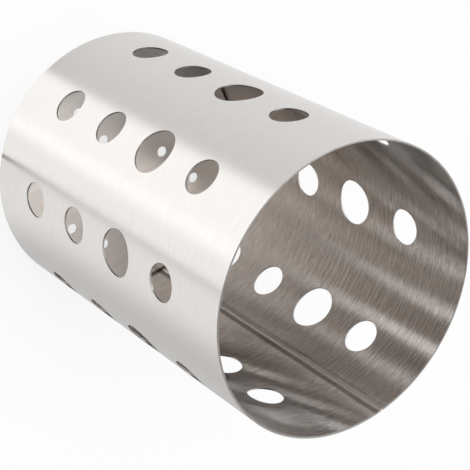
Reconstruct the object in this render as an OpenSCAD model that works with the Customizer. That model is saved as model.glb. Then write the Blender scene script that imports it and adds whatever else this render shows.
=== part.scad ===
// Round utensil holder made of brushed stainless sheet, open at the top.
// The wall is a punched sheet, rolled to a tube and closed by one straight weld.
// A pressed base plate with drain holes sits a little above the table, tacked in from below.
// The origin is the centre of the foot, +Z is up, and the weld seam is at the back, towards +Y.

/* [Wall] */
// Outer diameter of the wall
body_d = 127; // [110:0.5:150]
// Height of the wall
body_h = 180; // [165:0.5:230]
// Thickness of the wall's sheet
wall_t = 0.8; // [0.6:0.05:1.2]
// Width of the broken corners on the rim and the foot
edge_break = 0.15; // [0.05:0.01:0.25]

/* [Wall holes] */
// Diameter of the small holes
hole_d = 16; // [8:0.5:22]
// Diameter of the large holes
large_hole_d = 20.5; // [12:0.5:26]
// Height of the lowest hole centres above the table
hole_z = 35; // [24:0.5:44]
// Step from one level of holes to the next
hole_pitch = 35; // [28:0.5:42]
// Number of levels of holes
hole_levels = 4; // [1:1:4]
// Level of the large holes, counted from the foot
large_level = 3; // [1:1:4]

/* [Seam weld] */
// Gap between the sheet's edges, which the weld fills
seam_gap = 0.6; // [0.3:0.05:1]
// Width of the weld's crown inside the wall
crown_w = 2.4; // [1.6:0.1:4]
// Height of the weld's crown inside the wall
crown_h = 0.35; // [0.2:0.05:0.6]
// Clearance between the base plate and the foot of the crown
crown_gap = 0.3; // [0.1:0.05:1]

/* [Base plate] */
// Height of the plate's upper face above the table
base_z = 9; // [7:0.5:14]
// Thickness of the plate
base_t = 0.8; // [0.6:0.05:1.2]
// Outer radius of the pressed bend between plate and flange
bend_r = 2; // [1.6:0.1:3]
// Height of the flange's lower edge above the table
flange_z = 1.6; // [1.2:0.1:3]
// Clearance between the flange and the wall
base_fit = 0.08; // [0.04:0.02:0.2]

/* [Drain holes] */
// Diameter of the drain holes
drain_d = 5.2; // [3:0.1:7]
// Radius of the inner ring of drain holes
inner_ring_r = 20; // [12:0.5:28]
// Number of drain holes in the inner ring
inner_ring_n = 6; // [3:1:8]
// Radius of the outer ring of drain holes
outer_ring_r = 40.5; // [34:0.5:48]
// Number of drain holes in the outer ring
outer_ring_n = 12; // [6:1:18]
// Angle of the first drain hole of both rings
ring_turn = -9; // [-30:0.5:30]

/* [Tack welds] */
// Number of tack welds under the flange
tack_n = 4; // [3:1:8]
// Length of a tack weld along the wall
tack_l = 6; // [3:0.5:12]
// Leg of a tack weld's rounded section
tack_leg = 1; // [0.6:0.1:1.1]

/* [Hidden] */
$fn = 120;
// Angles of the rows of holes, as on the real holder: wider apart behind than in front
row_angles = [20.5, 61.2, 111.8, 161, 209.2, 253.3, 295.2, 337];
seam_angle = 90;
cut_over = 1;
wall_r = body_d / 2;
wall_in_r = wall_r - wall_t;
base_r = wall_in_r - base_fit;
// The crown's section is the cap of a circle that meets the wall at half of crown_w on each side of the seam
crown_facets = 12;
crown_mid = wall_in_r - crown_h;
crown_rise = arc_x(wall_in_r, crown_w / 2) - crown_mid;
crown_r = (crown_w * crown_w / 4 + crown_rise * crown_rise) / (2 * crown_rise);
crown_z = base_z + crown_gap;
tack_turn = tack_l / wall_in_r * 180 / PI;

// How far out a circle about the origin lies at the side distance y
function arc_x(r, y) = sqrt(r * r - y * y);

// Section of the sheet through the wall, with its four corners broken
module wall_section() {
    e = edge_break;
    polygon([
        [wall_in_r + e, 0], [wall_r - e, 0], [wall_r, e], [wall_r, body_h - e],
        [wall_r - e, body_h], [wall_in_r + e, body_h], [wall_in_r, body_h - e], [wall_in_r, e]
    ]);
}

// Cutter for one round hole through the wall
module wall_hole(d) {
    translate([wall_in_r - cut_over, 0, 0])
        rotate([0, 90, 0])
            cylinder(d = d, h = wall_t + 2 * cut_over);
}

// Cutters for one upright row of holes
module hole_row() {
    for (level = [1 : hole_levels])
        translate([0, 0, hole_z + (level - 1) * hole_pitch])
            wall_hole(level == large_level ? large_hole_d : hole_d);
}

// Block as wide as the gap in the wall, reaching from inside the wall to past it
module seam_slot(h) {
    translate([wall_in_r - cut_over, -seam_gap / 2, 0])
        cube([wall_t + 2 * cut_over, seam_gap, h]);
}

module body_shell() {
    color("#d9d8d6")
    difference() {
        rotate_extrude() wall_section();
        for (a = row_angles)
            rotate([0, 0, a]) hole_row();
        rotate([0, 0, seam_angle])
            translate([0, 0, -cut_over])
                seam_slot(body_h + 2 * cut_over);
    }
}

// Plan of the crown: its cap from end to end, back along the wall to the gap, and a root that fills the gap halfway
module crown_plan() {
    half_gap = seam_gap / 2;
    root_x = wall_r - wall_t / 2;
    cap = [for (i = [-crown_facets / 2 : crown_facets / 2])
        let (y = i * crown_w / crown_facets) [crown_mid + crown_r - arc_x(crown_r, y), y]];
    back = [for (y = [crown_w / 3, half_gap]) [arc_x(wall_in_r, y), y]];
    root = [[root_x, half_gap], [root_x, -half_gap]];
    far_back = [for (y = [-half_gap, -crown_w / 3]) [arc_x(wall_in_r, y), y]];
    polygon(concat(cap, back, root, far_back));
}

// Weld metal in the gap, ground flush outside, with the crown left standing inside
module seam_weld() {
    color("#a9a5a0")
    rotate([0, 0, seam_angle]) {
        intersection() {
            rotate_extrude() wall_section();
            seam_slot(body_h);
        }
        translate([0, 0, crown_z])
            linear_extrude(body_h - edge_break - crown_z) crown_plan();
    }
}

// Half section of a cap: a flat top and a side, with a round bend between them
module cap_section(r, h, bend) {
    square([r - bend, h]);
    square([r, h - bend]);
    translate([r - bend, h - bend]) circle(bend);
}

// Cutters for a ring of drain holes
module drain_ring(r, n) {
    for (i = [0 : n - 1])
        rotate([0, 0, ring_turn + i * 360 / n])
            translate([r, 0, -base_t - cut_over])
                cylinder(d = drain_d, h = base_t + 2 * cut_over);
}

// Pressed plate with its flange turned down inside the foot of the wall
module base_plate() {
    cap_h = base_z - flange_z;
    color("#bdb9b4")
    difference() {
        translate([0, 0, flange_z])
            rotate_extrude()
                difference() {
                    cap_section(base_r, cap_h, bend_r);
                    cap_section(base_r - base_t, cap_h - base_t, bend_r - base_t);
                }
        translate([0, 0, base_z]) {
            drain_ring(inner_ring_r, inner_ring_n);
            drain_ring(outer_ring_r, outer_ring_n);
        }
    }
}

// Quarter round of weld metal in the corner under the flange, for tack_l along the wall
module tack_weld() {
    rotate([0, 0, -tack_turn / 2])
        rotate_extrude(angle = tack_turn)
            intersection() {
                translate([wall_in_r, flange_z]) circle(tack_leg);
                translate([wall_in_r - tack_leg, flange_z - tack_leg]) square(tack_leg);
            }
}

module base_tacks() {
    color("#a9a5a0")
    for (i = [0 : tack_n - 1])
        rotate([0, 0, seam_angle + (i + 0.5) * 360 / tack_n]) tack_weld();
}

body_shell();
seam_weld();
base_plate();
base_tacks();
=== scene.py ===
"""Visual model and studio of the utensil holder. Metres, +Z up, the wall's weld seam towards +Y."""
import math
import bpy
import numpy as np
from mathutils import Matrix, Vector
from mathutils.geometry import delaunay_2d_cdt


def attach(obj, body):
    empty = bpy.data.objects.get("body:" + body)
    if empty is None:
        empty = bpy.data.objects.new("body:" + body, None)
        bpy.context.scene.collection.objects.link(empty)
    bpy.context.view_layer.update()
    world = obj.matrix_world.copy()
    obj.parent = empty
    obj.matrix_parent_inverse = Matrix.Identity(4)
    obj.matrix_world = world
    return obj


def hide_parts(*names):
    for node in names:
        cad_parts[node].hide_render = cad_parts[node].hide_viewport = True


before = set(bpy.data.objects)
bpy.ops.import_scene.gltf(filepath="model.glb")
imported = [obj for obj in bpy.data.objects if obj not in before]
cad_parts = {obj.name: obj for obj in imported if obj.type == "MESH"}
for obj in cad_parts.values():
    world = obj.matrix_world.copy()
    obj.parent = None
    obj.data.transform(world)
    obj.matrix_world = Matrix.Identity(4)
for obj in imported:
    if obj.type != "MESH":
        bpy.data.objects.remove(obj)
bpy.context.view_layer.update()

MM = 0.001
SAME_POINT = 2e-7  # points that round to the same step of this length are one
ROUND_STEPS = 8  # mesh steps of a large rounded corner
QUARTER_STEPS = 4  # mesh steps of a small rounded edge

# The wall: a punched sheet, rolled to a tube
WALL_R = 63.5 * MM
WALL_IN_R = 62.7 * MM
WALL_H = 180 * MM
EDGE_BREAK = 0.15 * MM
ROW_ANGLES = [111.8, 161, 209.2, 253.3, 295.2, 337, 380.5, 421.2]  # degrees, onwards from the seam
SEAM_ANGLE = 90
LEVEL_Z = [35 * MM, 70 * MM, 105 * MM, 140 * MM]
HOLE_R = [8 * MM, 8 * MM, 10.25 * MM, 8 * MM]  # by level: the third is the large one
HOLE_EDGE = 0.12 * MM  # rounding of the punched edges
CELL_HALF_H = 17.5 * MM  # half the height of the wall's cell around a hole
SIDE_N = 22  # mesh steps along a cell's side around the wall
RISE_N = 18  # mesh steps along a cell's side up the wall
STRIP_STEPS = 3  # mesh steps of the strips above and below the cells
SKIN_STEPS = [0, 0.06, 0.16, 0.34, 0.62, 1]  # rings of mesh from a hole's edge to its cell's edge
OUTER, INNER, CUT = 0, 1, 2  # the wall's finishes

# The weld seam
GAP_HALF = 0.3 * MM
WELD_LAP = 0.02 * MM  # how far the metal in the gap reaches into the sheet's edges
CROWN_HALF = 1.2 * MM
CROWN_H = 0.35 * MM
CROWN_Z = 9.3 * MM
CROWN_COLUMNS = 15  # mesh points across the crown
CROWN_BURY = 0.2 * MM  # how far the crown's back lies inside the wall
CROWN_WANDER = [(0.03, 7.3 * MM), (0.02, 2.9 * MM)]  # shares by which its width varies, and over what length
END_FADE = 2.5 * MM  # length of the crown's lower and narrower ends
END_START = 0.15  # square of the height share at the very end
END_WIDTH = 0.86  # width share that doesn't fade
RIPPLE_PITCH = 1.3 * MM
RIPPLE_STEPS = 6  # mesh steps of a ripple
RIPPLE_SHARE = 0.05  # height of a ripple as a share of the crown's
RIPPLE_BOW = 0.9 * MM  # how far a ripple trails at the crown's sides

# The base plate
BASE_R = 62.62 * MM
BASE_Z = 9 * MM
BASE_T = 0.8 * MM
BEND_R = 2 * MM
FLANGE_Z = 1.6 * MM
DRAIN_R = 2.6 * MM
DRAIN_EDGE = 0.14 * MM
DRAIN_RINGS = [(20 * MM, 6), (40.5 * MM, 12)]
DRAIN_TURN = -9
BASE_N = 240  # mesh steps around the plate
DRAIN_N = 36  # mesh steps around a drain hole
BEND_IN_STEPS = 6  # mesh steps of the bend's inner side
FLANGE_STEPS = 3  # mesh steps of the flange's broken corners
CDT_INSIDE = 1  # the triangulation keeps what lies inside its outline
CDT_NEAR = 1e-9

# The tack welds
TACK_N = 4
TACK_HALF = 3 * MM
TACK_LEG = 1 * MM
TACK_LAP = 0.1 * MM  # how far a tack reaches into the wall and the flange
TACK_SECTIONS = 25
TACK_END = 0.02  # square of the leg's share at the ends
TACK_UNEVEN = 0.04  # share by which the leg varies
TACK_WAVES = 9

# Brushed steel
FINE_SHARE = 0.6  # share of the fine grain in the tone, the rest is the broad one
GRAIN_LOW, GRAIN_HIGH = 0.35, 0.65  # the grain's values between which the tone goes from dark to light
SPREAD_UPRIGHT = 0.25  # turn of the shader's tangent that spreads highlights along the Z axis
# Colour of the painted shade beside the weld crown, standing in for the shade of grooves there
PAINTED_SHADE_COLOUR = (0.05, 0.045, 0.04, 1)

# The floor and the backdrop: white to the eye, and to metal a little darker, with soft cards in front and a
# painted shadow of the object on the floor
FLOOR_HALF = 4.0
FLOOR_WHITE = (0.86, 0.86, 0.86, 1)
FLOOR_GLOW = 0.75  # share of the floor's look that doesn't depend on light
FLOOR_BASE = 0.97
CARDS_MIDDLE = (19 * MM, -29 * MM, 0)  # the place from which the cards on the floor spread
SKY_BASE = 0.8
# Azimuth, elevation, degrees to which a card is full, degrees at which it has faded, and its strength
FLOOR_CARDS = [
    (309.5, 0, 36, 44, 0.27),
    (299, 0, 20, 36, 0.55),
    (357, 0, 10, 50, 0.35),
    (351.7, 0, 0.4, 2.0, -0.9),  # the dark edge that shows as a thin line along the wall
    # Painted shadow: the next two darken the floor, to metal only, where the object's shadow falls away from
    # the key lamp
    (80, 0, 10, 60, -0.25),
    (112, 0, 8, 30, -0.5),
    (190, 0, 25, 75, 0.08),
]
SKY_CARDS = [
    (205, 40, 30, 75, 0.7),
    (210, 16, 15, 45, 2.0),
    (335, 48, 30, 72, -0.8),
    (60, 50, 15, 50, -0.25),
    (0, 90, 10, 35, 0.45),
    (130, 58, 12, 32, 0.25),
]
LAMP_AIM = (0, 0, 0.09)

# The camera, as fitted to the photo
CAMERA_PLACE = (247.8, -354.1, 598.7)  # millimetres
CAMERA_FORWARD = (-0.37294, 0.5408, -0.75396)
CAMERA_RIGHT = (-0.78233, 0.25362, 0.56889)
CAMERA_SENSOR = 36
CAMERA_LENS = 115.78
CAMERA_NEAR = 0.01
CAMERA_FAR = 50


class Surface:
    """Patches that share their border points, welded into one mesh that keeps each patch's exact normals."""

    def __init__(self):
        self.points = []
        self.normals = []
        self.faces = []
        self.finishes = []
        self.count = 0

    def _add(self, points, normals):
        start = self.count
        self.points.append(np.reshape(points, (-1, 3)))
        self.normals.append(np.reshape(normals, (-1, 3)))
        self.count += len(self.points[-1])
        return start

    def grid(self, points, normals, closed=False, finish=None):
        """Quads over an array of points [row][column]. closed joins the last column to the first.
        finish gives the material index of each strip between two rows."""
        points = np.asarray(points, float)
        normals = np.asarray(normals, float)
        rows, columns = points.shape[:2]
        start = self._add(points, normals)
        steps = columns if closed else columns - 1
        for i in range(rows - 1):
            row = start + i * columns
            next_row = row + columns
            for j in range(steps):
                k = (j + 1) % columns
                self.faces.append((row + j, row + k, next_row + k, next_row + j))
                self.finishes.append(finish[i] if finish else 0)

    def polygons(self, points, faces, normal, finish=0):
        """Flat faces with one normal."""
        start = self._add(points, np.tile(normal, (len(points), 1)))
        self.faces += [tuple(start + i for i in face) for face in faces]
        self.finishes += [finish] * len(faces)

    def build(self, name):
        points = np.concatenate(self.points)
        normals = np.concatenate(self.normals)
        normals /= np.linalg.norm(normals, axis=1)[:, None]
        steps = np.round(points / SAME_POINT).astype(np.int64)
        _, first, welded = np.unique(steps, axis=0, return_index=True, return_inverse=True)
        welded = welded.reshape(-1)
        faces = []
        finishes = []
        corner_normals = []
        for face, finish in zip(self.faces, self.finishes):
            kept = [i for n, i in enumerate(face) if welded[i] != welded[face[n - 1]]]
            if len(kept) < 3:
                continue
            arms = points[kept] - points[kept[0]]
            turn = np.cross(arms, np.roll(arms, -1, axis=0)).sum(axis=0)
            if turn @ normals[kept].sum(axis=0) < 0:
                kept.reverse()
            faces.append([int(welded[i]) for i in kept])
            finishes.append(finish)
            corner_normals += [tuple(normals[i]) for i in kept]
        mesh = bpy.data.meshes.new(name)
        mesh.from_pydata(points[first].tolist(), [], faces)
        mesh.shade_smooth()
        mesh.polygons.foreach_set("material_index", finishes)
        mesh.normals_split_custom_set(corner_normals)
        piece = bpy.data.objects.new(name, mesh)
        bpy.context.scene.collection.objects.link(piece)
        return piece


def on_wall(radius, angle, z):
    """Points on a cylinder about the Z axis, and their outward directions. Angles in radians."""
    radius, angle, z = np.broadcast_arrays(radius, angle, z)
    out = np.stack([np.cos(angle), np.sin(angle), np.zeros_like(angle)], axis=-1)
    points = out * radius[..., None]
    points[..., 2] = z
    return points, out


def upwards(height):
    """A vector along the Z axis."""
    return np.array([0, 0, height])


def quarter(steps=QUARTER_STEPS):
    """Sines and cosines of a quarter turn."""
    return [(math.sin(t), math.cos(t)) for t in np.linspace(0, math.pi / 2, steps + 1)]


def revolve(surface, profile, angles, closed=False, finish=None):
    """Turns a profile of (radius, height, out, up) about the Z axis."""
    points = []
    normals = []
    for radius, z, out_part, up_part in profile:
        p, out = on_wall(radius, angles, z)
        points.append(p)
        normals.append(out * out_part + upwards(up_part))
    surface.grid(points, normals, closed, finish)


def sweep(surface, sections, normals, heights):
    """Joins closed plan sections at their heights, and closes both ends."""
    rows = [[(*p, z) for p in section] for section, z in zip(sections, heights)]
    surface.grid(rows, normals, closed=True)
    for row, up in ((rows[0], -1), (rows[-1], 1)):
        surface.polygons(np.array(row), [range(len(row))], upwards(up))


def cell_outline(low, high, z_low, z_high):
    """Points around a cell of the wall, as (angle, height), starting at its lower right corner."""
    across = np.linspace(low, high, SIDE_N + 1)
    up = np.linspace(z_low, z_high, RISE_N + 1)
    right = [(high, z) for z in up[:-1]]
    top = [(a, z_high) for a in across[:0:-1]]
    left = [(low, z) for z in up[:0:-1]]
    bottom = [(a, z_low) for a in across[:-1]]
    return np.array(right + top + left + bottom)


def add_cell(surface, row, low, high, z, r):
    """One cell of the wall with its hole: outer skin, rounded edge, cut, rounded edge, inner skin."""
    outline = cell_outline(low, high, z - CELL_HALF_H, z + CELL_HALF_H)
    turn = np.arctan2(outline[:, 1] - z, (outline[:, 0] - row) * WALL_R)
    side = np.cos(turn)
    rise = np.sin(turn)
    across = np.array([-math.sin(row), math.cos(row), 0])
    into_hole = -side[:, None] * across - rise[:, None] * upwards(1)

    def ring(hole_r, wall_r, spread=0.0):
        angle = row + np.arcsin(hole_r * side / wall_r)
        height = z + hole_r * rise
        spread_angle = angle + spread * (outline[:, 0] - angle)
        return on_wall(wall_r, spread_angle, height + spread * (outline[:, 1] - height))

    points = []
    normals = []
    for spread in reversed(SKIN_STEPS):
        p, out = ring(r + HOLE_EDGE, WALL_R, spread)
        points.append(p)
        normals.append(out)
    for s, c in quarter()[1:]:
        p, out = ring(r + HOLE_EDGE * (1 - s), WALL_R - HOLE_EDGE * (1 - c))
        points.append(p)
        normals.append(out * c + into_hole * s)
    for s, c in quarter()[:-1]:
        p, out = ring(r + HOLE_EDGE * (1 - c), WALL_IN_R + HOLE_EDGE * (1 - s))
        points.append(p)
        normals.append(into_hole * c - out * s)
    for spread in SKIN_STEPS:
        p, out = ring(r + HOLE_EDGE, WALL_IN_R, spread)
        points.append(p)
        normals.append(-out)
    skin = len(SKIN_STEPS) - 1
    edge = 2 * QUARTER_STEPS + 1
    surface.grid(points, normals, closed=True, finish=[OUTER] * skin + [CUT] * edge + [INNER] * skin)


def edge_profile(z_skin, z_edge):
    """A strip of the wall up to its rim or down to its foot and back inside, as (radius, height, out, up)."""
    way = 1 if z_edge > z_skin else -1
    e = EDGE_BREAK
    last = z_edge - way * e
    skin = np.linspace(z_skin, last, STRIP_STEPS + 1)
    outside = [(WALL_R, z, 1, 0) for z in skin[:-1]]
    outside += [(WALL_R - e * (1 - c), last + way * e * s, c, way * s) for s, c in quarter()]
    inside = [(WALL_IN_R + e * (1 - s), last + way * e * c, -s, way * c) for s, c in quarter()]
    inside += [(WALL_IN_R, z, -1, 0) for z in skin[-2::-1]]
    return outside + inside


def make_wall():
    surface = Surface()
    gap = math.asin(GAP_HALF / WALL_R)
    rows = np.radians(ROW_ANGLES)
    seam = math.radians(SEAM_ANGLE)
    bounds = [seam + gap, *((rows[1:] + rows[:-1]) / 2), seam + 2 * math.pi - gap]
    for row, low, high in zip(rows, bounds[:-1], bounds[1:]):
        for z, r in zip(LEVEL_Z, HOLE_R):
            add_cell(surface, row, low, high, z, r)
    # The strips below and above the cells, with the foot and the rim
    sides = [np.linspace(low, high, SIDE_N + 1)[:-1] for low, high in zip(bounds[:-1], bounds[1:])]
    around = np.append(np.concatenate(sides), bounds[-1])
    foot = edge_profile(LEVEL_Z[0] - CELL_HALF_H, 0)
    rim = edge_profile(LEVEL_Z[-1] + CELL_HALF_H, WALL_H)
    strip = [OUTER] * STRIP_STEPS + [CUT] * (2 * QUARTER_STEPS + 1) + [INNER] * STRIP_STEPS
    revolve(surface, foot, around, finish=strip)
    revolve(surface, rim, around, finish=strip)
    # The sheet's two long edges, closed at the weld
    level_rises = [np.linspace(z - CELL_HALF_H, z + CELL_HALF_H, RISE_N + 1) for z in LEVEL_Z]
    rises = np.unique(np.concatenate(level_rises).round(9))
    section = [(WALL_R, z) for z in rises] + [(p[0], p[1]) for p in rim[1:-1]]
    section += [(WALL_IN_R, z) for z in rises[::-1]] + [(p[0], p[1]) for p in reversed(foot[1:-1])]
    for angle, way in ((bounds[0], -1), (bounds[-1], 1)):
        out = np.array([math.cos(angle), math.sin(angle), 0])
        points = [out * radius + upwards(z) for radius, z in section]
        surface.polygons(points, [range(len(points))], way * np.array([-out[1], out[0], 0]), CUT)
    return surface.build("wall")


def add_gap_metal(surface):
    """Weld metal in the gap, flush with both faces of the sheet, its sides a little inside the edges."""
    middle_r = (WALL_R + WALL_IN_R) / 2
    sections = []
    for inset in (EDGE_BREAK, 0, 0, EDGE_BREAK):
        in_r = WALL_IN_R + inset
        out_r = WALL_R - inset
        left = [(-GAP_HALF, in_r), (-GAP_HALF - WELD_LAP, middle_r), (-GAP_HALF, out_r)]
        right = [(GAP_HALF, out_r), (GAP_HALF + WELD_LAP, middle_r), (GAP_HALF, in_r)]
        sections.append([(x, math.sqrt(r * r - x * x)) for x, r in left + right])
    turns = [(0, -1, 0), (-1, 0, 0), (0, 1, 0), (0, 1, 0), (1, 0, 0), (0, -1, 0)]
    sweep(surface, sections, [turns] * 4, [0, EDGE_BREAK, WALL_H - EDGE_BREAK, WALL_H])


def add_crown(surface):
    """The weld's crown inside, with the ripples of the moving weld pool and faded ends."""
    crown_end = WALL_H - EDGE_BREAK
    heights = np.arange(CROWN_Z, crown_end, RIPPLE_PITCH / RIPPLE_STEPS)
    across = np.linspace(-1, 1, CROWN_COLUMNS)
    sections = []
    normals = []
    for z in heights:
        from_end = min(z - CROWN_Z, crown_end - z)
        fade = math.sqrt(min(1, END_START + from_end / END_FADE))
        wander = 1 + sum(share * math.sin(z / length) for share, length in CROWN_WANDER)
        half = CROWN_HALF * (END_WIDTH + (1 - END_WIDTH) * fade) * wander
        top = []
        turns = []
        for u in across:
            x = u * half
            phase = 2 * math.pi * (z + RIPPLE_BOW * u * u) / RIPPLE_PITCH
            smooth = CROWN_H * fade * (1 - u * u)
            height = smooth * (1 + RIPPLE_SHARE * math.sin(phase))
            top.append((x, math.sqrt(WALL_IN_R ** 2 - x * x) - height))
            slope = 2 * u * CROWN_H * fade / half
            climb = smooth * RIPPLE_SHARE * 2 * math.pi / RIPPLE_PITCH * math.cos(phase)
            turns.append((slope, -1, -climb))
        back_y = math.sqrt(WALL_IN_R ** 2 - half ** 2) + CROWN_BURY
        sections.append(top + [(half, back_y), (-half, back_y)])
        normals.append(turns + [(0, 1, 0)] * 2)
    sweep(surface, sections, normals, heights)


def make_seam_weld():
    surface = Surface()
    add_gap_metal(surface)
    add_crown(surface)
    return surface.build("seam_bead")


def on_plan(radius, angle):
    """A point of the plan, its angle in radians."""
    return Vector((radius * math.cos(angle), radius * math.sin(angle)))


def full_turn(steps):
    """Angles all the way round, without the last, which is the first again."""
    return np.linspace(0, 2 * math.pi, steps + 1)[:-1]


def add_plate_faces(surface, centres, flat_r, under_z):
    """The plate's two flat faces, with the drain holes left out."""
    edge_r = DRAIN_R + DRAIN_EDGE
    verts = [on_plan(flat_r, a) for a in full_turn(BASE_N)]
    edges = [(i, (i + 1) % BASE_N) for i in range(BASE_N)]
    for centre in centres:
        start = len(verts)
        verts += [centre + edge_r * on_plan(1, t) for t in full_turn(DRAIN_N)]
        edges += [(start + i, start + (i + 1) % DRAIN_N) for i in range(DRAIN_N)]
    flat, _, faces, *_ = delaunay_2d_cdt(verts, edges, [], CDT_INSIDE, CDT_NEAR)

    def in_metal(face):
        middle = sum((flat[i] for i in face), Vector((0, 0))) / len(face)
        return all((middle - centre).length > DRAIN_R for centre in centres)

    kept = [face for face in faces if in_metal(face)]
    for z, up in ((BASE_Z, 1), (under_z, -1)):
        surface.polygons(np.array([(*p, z) for p in flat]), kept, upwards(up))


def add_drain_edges(surface, centres, under_z):
    """The cuts of the drain holes, rounded above and below."""
    e = DRAIN_EDGE
    profile = [(DRAIN_R + e * (1 - s), BASE_Z - e * (1 - c), -s, c) for s, c in quarter()]
    profile += [(DRAIN_R + e * (1 - c), under_z + e * (1 - s), -c, -s) for s, c in quarter()]
    turn = full_turn(DRAIN_N)
    for centre in centres:
        points = []
        normals = []
        for radius, z, out_part, up_part in profile:
            p, out = on_wall(radius, turn, z)
            points.append(p + np.array([*centre, 0]))
            normals.append(out * out_part + upwards(up_part))
        surface.grid(points, normals, closed=True)


def make_base():
    surface = Surface()
    e = EDGE_BREAK
    in_r = BASE_R - BASE_T
    flat_r = BASE_R - BEND_R
    under_z = BASE_Z - BASE_T
    bend_in = BEND_R - BASE_T
    bend = [(flat_r + BEND_R * s, BASE_Z - BEND_R * (1 - c), s, c) for s, c in quarter(ROUND_STEPS)]
    corner = [(BASE_R - e * (1 - c), FLANGE_Z + e * (1 - s), c, -s) for s, c in quarter(FLANGE_STEPS)]
    corner += [(in_r + e * (1 - s), FLANGE_Z + e * (1 - c), -s, -c) for s, c in quarter(FLANGE_STEPS)]
    back = [(flat_r + bend_in * c, under_z - bend_in * (1 - s), -c, -s) for s, c in quarter(BEND_IN_STEPS)]
    revolve(surface, bend + corner + back, full_turn(BASE_N), closed=True)
    centres = [on_plan(radius, math.radians(DRAIN_TURN + i * 360 / n))
               for radius, n in DRAIN_RINGS
               for i in range(n)]
    add_plate_faces(surface, centres, flat_r, under_z)
    add_drain_edges(surface, centres, under_z)
    return surface.build("base")


def make_tacks():
    surface = Surface()
    root_r = WALL_IN_R + TACK_LAP
    root_z = FLANGE_Z + TACK_LAP
    for i in range(TACK_N):
        middle = math.radians(SEAM_ANGLE + (i + 0.5) * 360 / TACK_N)
        points = []
        normals = []
        for u in np.linspace(-1, 1, TACK_SECTIONS):
            angle = middle + u * TACK_HALF / WALL_IN_R
            taper = math.sqrt(max(TACK_END, 1 - u ** 4))
            reach = TACK_LEG * taper * (1 + TACK_UNEVEN * math.sin(TACK_WAVES * u)) + TACK_LAP
            row = []
            turns = []
            for s, c in quarter(ROUND_STEPS):
                p, out = on_wall(root_r - reach * c, angle, root_z - reach * s)
                row.append(p)
                turns.append(-out * c - upwards(s))
            p, out = on_wall(root_r, angle, root_z)
            points.append(row + [p])
            normals.append(turns + [out])
        surface.grid(points, normals, closed=True)
        for row, way in ((points[0], -1), (points[-1], 1)):
            along = way * np.array([-math.sin(middle), math.cos(middle), 0])
            surface.polygons(np.array(row), [range(len(row))], along)
    return surface.build("tack_beads")


class Nodes:
    """Short calls for a node tree."""

    def __init__(self, tree):
        self.tree = tree

    def put(self, socket, value):
        """Links another node's output to a socket, or sets its value."""
        if isinstance(value, bpy.types.NodeSocket):
            self.tree.links.new(value, socket)
        else:
            socket.default_value = value

    def add(self, kind, inputs=None, **settings):
        node = self.tree.nodes.new("ShaderNode" + kind)
        for key, value in settings.items():
            setattr(node, key, value)
        for key, value in (inputs or {}).items():
            self.put(node.inputs[key], value)
        return node

    def noise(self, where, scale, detail, roughness):
        """Noise whose scale is given along X, Y and Z."""
        stretched = self.add("Mapping", {"Vector": where, "Scale": scale}).outputs[0]
        settings = {"Vector": stretched, "Scale": 1.0, "Detail": detail, "Roughness": roughness}
        return self.add("TexNoise", settings).outputs[0]

    def remap(self, value, low, high, to_low, to_high, kind="LINEAR"):
        settings = {"Value": value, "From Min": low, "From Max": high, "To Min": to_low, "To Max": to_high}
        return self.add("MapRange", settings, interpolation_type=kind).outputs[0]

    def math(self, operation, a, b=0.0):
        return self.add("Math", {0: a, 1: b}, operation=operation).outputs[0]

    def mix(self, share, a, b):
        """A colour between a and b. Inputs 6 and 7 and output 2 of the node are the ones for colours."""
        return self.add("Mix", {"Factor": share, 6: a, 7: b}, data_type="RGBA").outputs[2]


def add_painted_shade(nodes, where, colour, painted_shades):
    """Paints shade into a colour: dark lines beside the weld seam stand in for the shade of grooves beside
    the crown, on the seam's side of the wall only.
    """
    place = nodes.add("SeparateXYZ", {0: where}).outputs
    behind = nodes.math("GREATER_THAN", place["Y"], 0.0)
    for middle, half, fade, strength in painted_shades:
        across = nodes.math("ABSOLUTE", nodes.math("SUBTRACT", place["X"], middle))
        line = nodes.remap(across, half + fade, half, 0.0, strength, "SMOOTHSTEP")
        colour = nodes.mix(nodes.math("MULTIPLY", line, behind), colour, PAINTED_SHADE_COLOUR)
    return colour


def steel(name, dark, light, fine, broad, rough, anisotropy, ridges, ridge_h, painted_shades=()):
    """Brushed steel, between a dark and a light tone and between a lowest and a highest roughness.
    fine and broad are the scales of the grain's two noises along X, Y and Z.
    ridges is the scale of its relief, and ridge_h the relief's height.
    Anisotropy spreads the highlights along the Z axis, across the grain around the wall.
    The last argument gives lines of painted shade along the weld seam, for the shade of grooves beside the
    crown, as (place across the seam, half width, fade, strength)."""
    material = bpy.data.materials.new(name)
    material.use_nodes = True
    nodes = Nodes(material.node_tree)
    where = nodes.add("TexCoord").outputs["Object"]
    lines = nodes.math("MULTIPLY", nodes.noise(where, fine, detail=2.0, roughness=0.6), FINE_SHARE)
    bands = nodes.math("MULTIPLY", nodes.noise(where, broad, detail=2.0, roughness=0.5), 1 - FINE_SHARE)
    grain = nodes.math("ADD", lines, bands)
    tone = nodes.remap(grain, GRAIN_LOW, GRAIN_HIGH, 0.0, 1.0)
    colour = nodes.mix(tone, (*dark, 1), (*light, 1))
    # Lines of painted shade beside the weld seam
    if painted_shades:
        colour = add_painted_shade(nodes, where, colour, painted_shades)
    height = nodes.noise(where, ridges, detail=1.0, roughness=0.5)
    relief = nodes.add("Bump", {"Height": height, "Distance": ridge_h, "Strength": 1.0}).outputs[0]
    inputs = {
        "Base Color": colour,
        "Metallic": 1.0,
        "Roughness": nodes.remap(grain, GRAIN_LOW, GRAIN_HIGH, rough[1], rough[0]),
        "Anisotropic": anisotropy,
        "Anisotropic Rotation": SPREAD_UPRIGHT,
        "Tangent": nodes.add("Tangent", direction_type="RADIAL", axis="Z").outputs[0],
        "Normal": relief,
    }
    shader = material.node_tree.nodes["Principled BSDF"]
    for key, value in inputs.items():
        nodes.put(shader.inputs[key], value)
    return material


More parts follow.
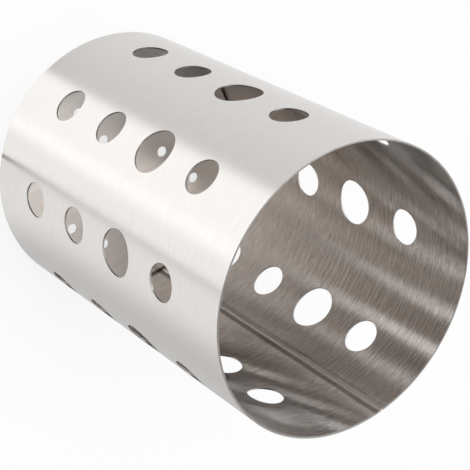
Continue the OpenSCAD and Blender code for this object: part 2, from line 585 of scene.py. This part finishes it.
def dress(piece, node, finishes):
    """Puts a piece in a CAD node's place."""
    for material in finishes:
        piece.data.materials.append(material)
    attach(piece, "root")
    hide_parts(node)


def heading(azimuth, elevation):
    """The direction that lies at an azimuth and an elevation in degrees."""
    a = math.radians(azimuth)
    e = math.radians(elevation)
    return math.cos(a) * math.cos(e), math.sin(a) * math.cos(e), math.sin(e)


def card(nodes, direction, azimuth, elevation, full, fade, strength):
    """Light that a soft round card adds: all of it up to full degrees from its middle, none past fade."""
    middle = heading(azimuth, elevation)
    facing = nodes.add("VectorMath", {0: direction, 1: middle}, operation="DOT_PRODUCT").outputs["Value"]
    none = math.cos(math.radians(fade))
    whole = math.cos(math.radians(full))
    return nodes.remap(facing, none, whole, 0.0, strength, "SMOOTHSTEP")


def surround(nodes, glossy, direction, base, cards):
    """The strength of a white surround, in which metal sees the base with the cards in front of it."""
    change = base - 1
    for settings in cards:
        change = nodes.math("ADD", change, card(nodes, direction, *settings))
    return nodes.math("ADD", 1.0, nodes.math("MULTIPLY", glossy, change))


def make_floor():
    """A white floor that keeps the object's shadow. Metal sees the cards that lie around the object on it,
    and among them a painted shadow of the object.
    """
    h = FLOOR_HALF
    mesh = bpy.data.meshes.new("floor")
    mesh.from_pydata([(-h, -h, 0), (h, -h, 0), (h, h, 0), (-h, h, 0)], [], [(0, 1, 2, 3)])
    floor = bpy.data.objects.new("floor", mesh)
    bpy.context.scene.collection.objects.link(floor)
    material = bpy.data.materials.new("floor_white")
    material.use_nodes = True
    tree = material.node_tree
    tree.nodes.remove(tree.nodes["Principled BSDF"])
    nodes = Nodes(tree)
    path = nodes.add("LightPath").outputs
    glossy = path["Is Glossy Ray"]
    seen = nodes.math("MAXIMUM", path["Is Camera Ray"], glossy)
    seen = nodes.math("MAXIMUM", seen, path["Is Transmission Ray"])
    place = nodes.add("TexCoord").outputs["Object"]
    away = nodes.add("VectorMath", {0: place, 1: CARDS_MIDDLE}, operation="SUBTRACT").outputs[0]
    direction = nodes.add("VectorMath", {0: away}, operation="NORMALIZE").outputs[0]
    strength = surround(nodes, glossy, direction, FLOOR_BASE, FLOOR_CARDS)
    matte = nodes.add("BsdfDiffuse", {"Color": FLOOR_WHITE}).outputs[0]
    glow = nodes.add("Emission", {"Color": (1, 1, 1, 1), "Strength": strength}).outputs[0]
    share = nodes.math("MULTIPLY", seen, FLOOR_GLOW)
    mixed = nodes.add("MixShader", {0: share, 1: matte, 2: glow}).outputs[0]
    nodes.put(tree.nodes["Material Output"].inputs["Surface"], mixed)
    mesh.materials.append(material)


def make_world():
    """A white backdrop. Metal sees the cards that hang around the object in front of it."""
    world = bpy.data.worlds.new("studio")
    world.use_nodes = True
    bpy.context.scene.world = world
    nodes = Nodes(world.node_tree)
    glossy = nodes.add("LightPath").outputs["Is Glossy Ray"]
    direction = nodes.add("TexCoord").outputs["Generated"]
    background = world.node_tree.nodes["Background"]
    nodes.put(background.inputs["Color"], (1, 1, 1, 1))
    nodes.put(background.inputs["Strength"], surround(nodes, glossy, direction, SKY_BASE, SKY_CARDS))


def make_softbox(name, azimuth, elevation, distance, side, watts):
    """A square lamp at a direction from the object, facing it."""
    light = bpy.data.lights.new(name, "AREA")
    light.shape = "RECTANGLE"
    light.size = side
    light.size_y = side
    light.energy = watts
    lamp = bpy.data.objects.new(name, light)
    bpy.context.scene.collection.objects.link(lamp)
    away = Vector(heading(azimuth, elevation))
    lamp.location = Vector(LAMP_AIM) + away * distance
    lamp.rotation_euler = away.to_track_quat("Z", "Y").to_euler()
    lamp.visible_camera = False


def make_camera():
    lens = bpy.data.cameras.new("photo_camera")
    lens.sensor_width = CAMERA_SENSOR
    lens.lens = CAMERA_LENS
    lens.clip_start = CAMERA_NEAR
    lens.clip_end = CAMERA_FAR
    camera = bpy.data.objects.new("photo_camera", lens)
    bpy.context.scene.collection.objects.link(camera)
    forward = Vector(CAMERA_FORWARD).normalized()
    right = Vector(CAMERA_RIGHT)
    right = (right - forward * right.dot(forward)).normalized()
    up = right.cross(forward)
    place = Matrix((right, up, -forward)).transposed().to_4x4()
    place.translation = Vector(CAMERA_PLACE) * MM
    camera.matrix_world = place
    bpy.context.scene.camera = camera


wall_outer = steel(
    "wall_outer", dark=(0.60, 0.58, 0.561), light=(0.63, 0.61, 0.59),
    fine=(200, 200, 2400), broad=(90, 90, 1200),
    rough=(0.165, 0.19), anisotropy=1.0, ridges=(60, 60, 1500), ridge_h=0.003 * MM)
wall_inner = steel(
    "wall_inner", dark=(0.53, 0.50, 0.475), light=(0.80, 0.754, 0.718),
    fine=(260, 260, 1900), broad=(140, 140, 1100),
    rough=(0.18, 0.195), anisotropy=1.0, ridges=(32, 32, 900), ridge_h=0.13 * MM,
    # Painted shade: two dark lines beside the weld crown stand in for the shade of its grooves
    painted_shades=[(2.2 * MM, 0.7 * MM, 1.1 * MM, 0.62), (-2.0 * MM, 0.3 * MM, 0.8 * MM, 0.3)])
cut_edge = steel(
    "cut_edge", dark=(0.25, 0.238, 0.228), light=(0.32, 0.305, 0.292),
    fine=(600, 600, 600), broad=(90, 90, 90),
    rough=(0.30, 0.40), anisotropy=0.0, ridges=(500, 500, 500), ridge_h=0.004 * MM)
base_steel = steel(
    "base_steel", dark=(0.60, 0.57, 0.546), light=(0.68, 0.646, 0.618),
    fine=(22, 1100, 22), broad=(9, 260, 9),
    rough=(0.30, 0.38), anisotropy=0.0, ridges=(12, 600, 12), ridge_h=0.012 * MM)
weld_steel = steel(
    "weld_steel", dark=(0.66, 0.618, 0.58), light=(0.76, 0.714, 0.673),
    fine=(700, 700, 700), broad=(120, 120, 120),
    rough=(0.30, 0.42), anisotropy=0.0, ridges=(500, 500, 500), ridge_h=0.01 * MM)

dress(make_wall(), "body_shell", [wall_outer, wall_inner, cut_edge])
dress(make_seam_weld(), "seam_weld", [weld_steel])
dress(make_base(), "base_plate", [base_steel])
dress(make_tacks(), "base_tacks", [weld_steel])

make_floor()
make_world()
make_softbox("key", azimuth=290, elevation=62, distance=1.3, side=0.8, watts=4)
make_camera()
bpy.context.scene.view_settings.view_transform = "Standard"
